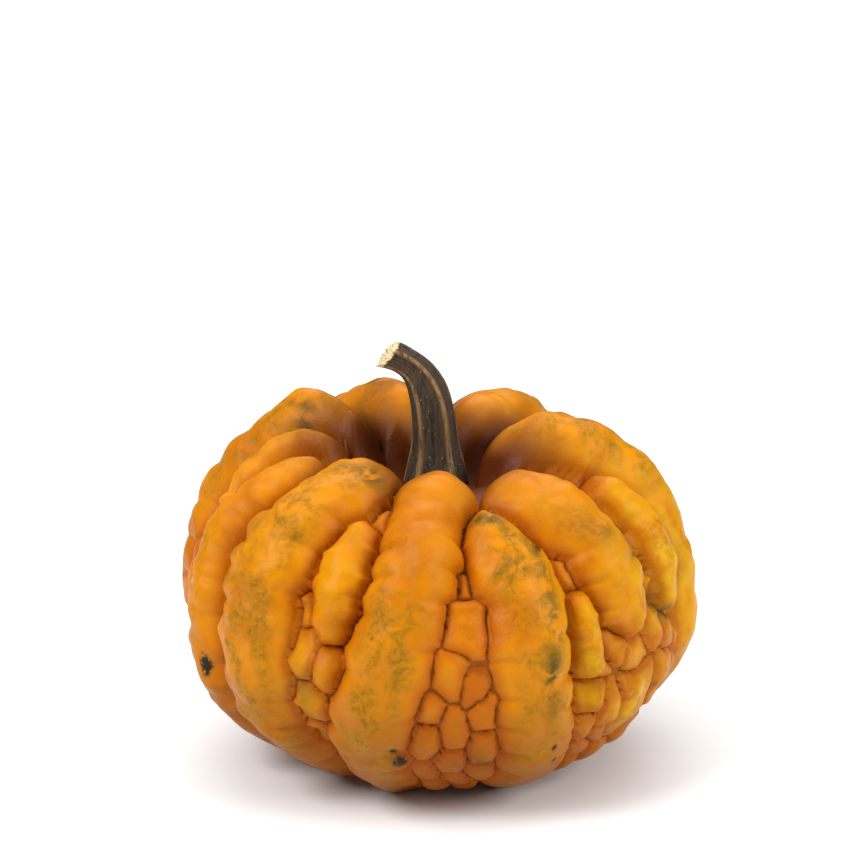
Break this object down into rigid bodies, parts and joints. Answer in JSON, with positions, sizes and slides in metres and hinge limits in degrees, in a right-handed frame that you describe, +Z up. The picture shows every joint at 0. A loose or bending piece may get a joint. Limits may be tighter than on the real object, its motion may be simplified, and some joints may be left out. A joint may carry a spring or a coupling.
{
  "type": "kabocha squash",
  "caption": "Whole orange winter squash with deep lobes, warty furrows and a bent woody stem, resting on its flattened underside; produce for a kitchen, market stall or harvest display.",
  "frame": {"origin": "middle of the resting plane, under the centre of the whole object's box", "axes": "+Z up through the stem, -Y towards the front that the picture shows, +X to the right of that front"},
  "size_m": [0.16, 0.1604, 0.1311],
  "materials": {
    "rind": "waxy satin rind, bright orange, deeper orange in the creases, olive and tan mottling on the crests",
    "stem_cork": "dry dark olive-brown stalk with tan ridges and a pale frayed cut end"
  },
  "bodies": {
    "root": {"fruit": "rind", "stem": "stem_cork"}
  },
  "joints": []
}
